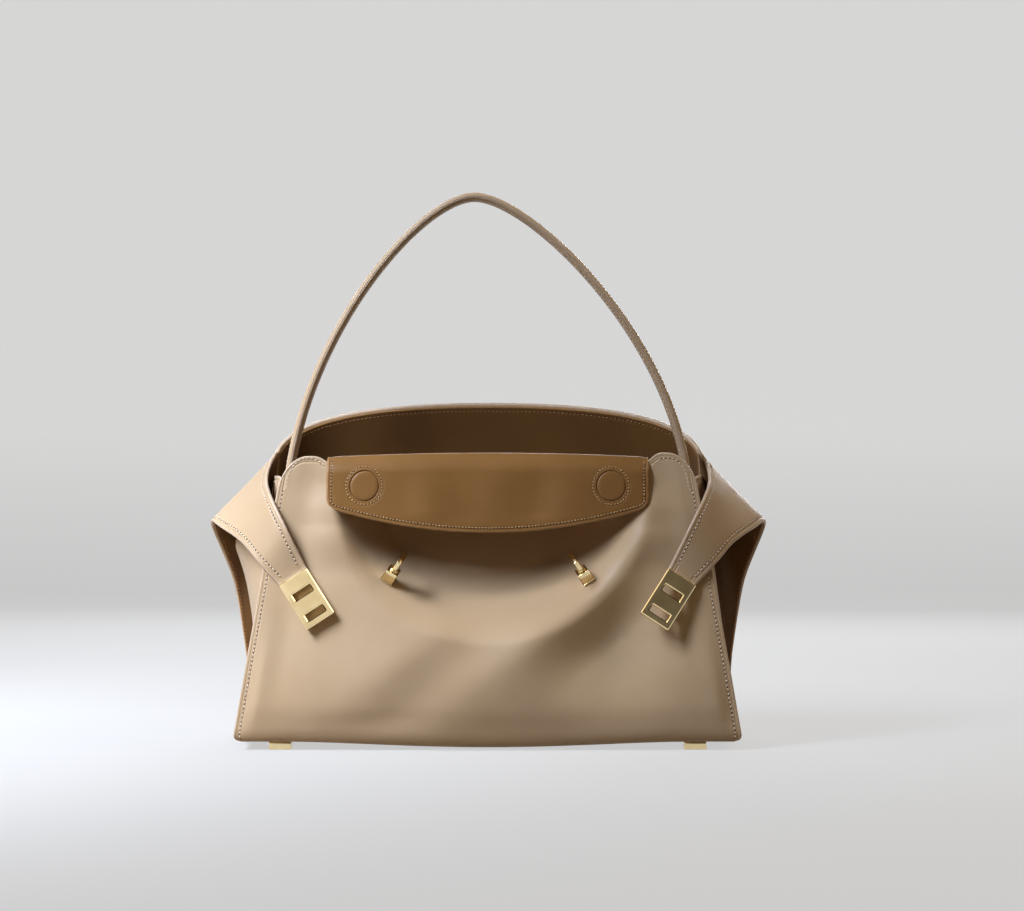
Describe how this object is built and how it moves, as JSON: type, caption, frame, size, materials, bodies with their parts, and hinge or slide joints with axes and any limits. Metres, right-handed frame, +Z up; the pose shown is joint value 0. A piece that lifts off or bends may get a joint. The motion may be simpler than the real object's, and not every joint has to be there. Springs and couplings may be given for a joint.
{
  "type": "tote bag",
  "caption": "Soft leather tote bag on metal feet, with an arched handle, a turned-down magnetic flap, and side straps whose slotted tips reach turn locks on the front.",
  "frame": {"origin": "on the ground under the middle of the bag, between the four feet", "axes": "+Z up, the front with the flap and turn locks faces -Y, +X to the right when looking at the front"},
  "size_m": [0.4112, 0.1564, 0.4036],
  "materials": {
    "tan_leather": "smooth calf leather, low sheen",
    "brown_leather": "smooth lining leather, low sheen",
    "pale_gold": "satin faces and polished edges",
    "steel": "plain",
    "board": "fibre board"
  },
  "bodies": {
    "bag": {"base_panel": "tan_leather", "base_board": "board", "base_lining": "brown_leather", "foot_front_left": "pale_gold", "foot_front_right": "pale_gold", "foot_back_left": "pale_gold", "foot_back_right": "pale_gold", "foot_screw_front_left": "steel", "foot_screw_front_right": "steel", "foot_screw_back_left": "steel", "foot_screw_back_right": "steel", "front_panel": "tan_leather", "front_lining": "brown_leather", "back_panel": "tan_leather", "back_stiffener": "board", "back_lining": "brown_leather", "left_back_magnet": "steel", "right_back_magnet": "steel", "left_gusset": "tan_leather", "right_gusset": "tan_leather", "left_gusset_lining": "brown_leather", "right_gusset_lining": "brown_leather", "left_handle_tab": "tan_leather", "right_handle_tab": "tan_leather", "left_wing_lining": "brown_leather", "right_wing_lining": "brown_leather", "left_lock_base": "pale_gold", "right_lock_base": "pale_gold", "left_lock_washer": "steel", "right_lock_washer": "steel"},
    "handle": {"handle_leather_upper": "tan_leather", "handle_leather_under": "tan_leather", "handle_core": "board"},
    "flap": {"flap_lining": "brown_leather", "flap_stiffener": "board", "flap_leather": "tan_leather", "left_flap_magnet": "steel", "right_flap_magnet": "steel"},
    "left_strap": {"left_strap": "tan_leather", "left_strap_lining": "brown_leather", "left_tip": "pale_gold", "left_tip_screw_outer": "pale_gold", "left_tip_screw_inner": "pale_gold"},
    "right_strap": {"right_strap": "tan_leather", "right_strap_lining": "brown_leather", "right_tip": "pale_gold", "right_tip_screw_outer": "pale_gold", "right_tip_screw_inner": "pale_gold"},
    "left_toggle": {"left_lock_toggle": "pale_gold"},
    "right_toggle": {"right_lock_toggle": "pale_gold"}
  },
  "joints": [
    {"name": "handle_swing", "type": "hinge", "parent": "bag", "child": "handle", "pos_m": [0, -0.0183, 0.193], "axis": [1, 0, 0], "range_deg": [-38, 38]},
    {"name": "flap_fold", "type": "hinge", "parent": "bag", "child": "flap", "pos_m": [0, -0.0495, 0.2075], "axis": [-1, 0, 0], "range_deg": [0, 250]},
    {"name": "left_strap_swing", "type": "hinge", "parent": "bag", "child": "left_strap", "pos_m": [-0.162, -0.002, 0.208], "axis": [-0.6907, -0.0318, -0.7225], "range_deg": [0, 70]},
    {"name": "right_strap_swing", "type": "hinge", "parent": "bag", "child": "right_strap", "pos_m": [0.162, -0.002, 0.208], "axis": [-0.6907, 0.0318, 0.7225], "range_deg": [0, 70]},
    {"name": "left_toggle_turn", "type": "hinge", "parent": "bag", "child": "left_toggle", "pos_m": [-0.0725, -0.05337, 0.121], "axis": [0.474, -0.5601, 0.6794], "range_deg": [0, 90]},
    {"name": "right_toggle_turn", "type": "hinge", "parent": "bag", "child": "right_toggle", "pos_m": [0.0725, -0.05337, 0.121], "axis": [-0.474, -0.5601, 0.6794], "range_deg": [0, 90]}
  ]
}
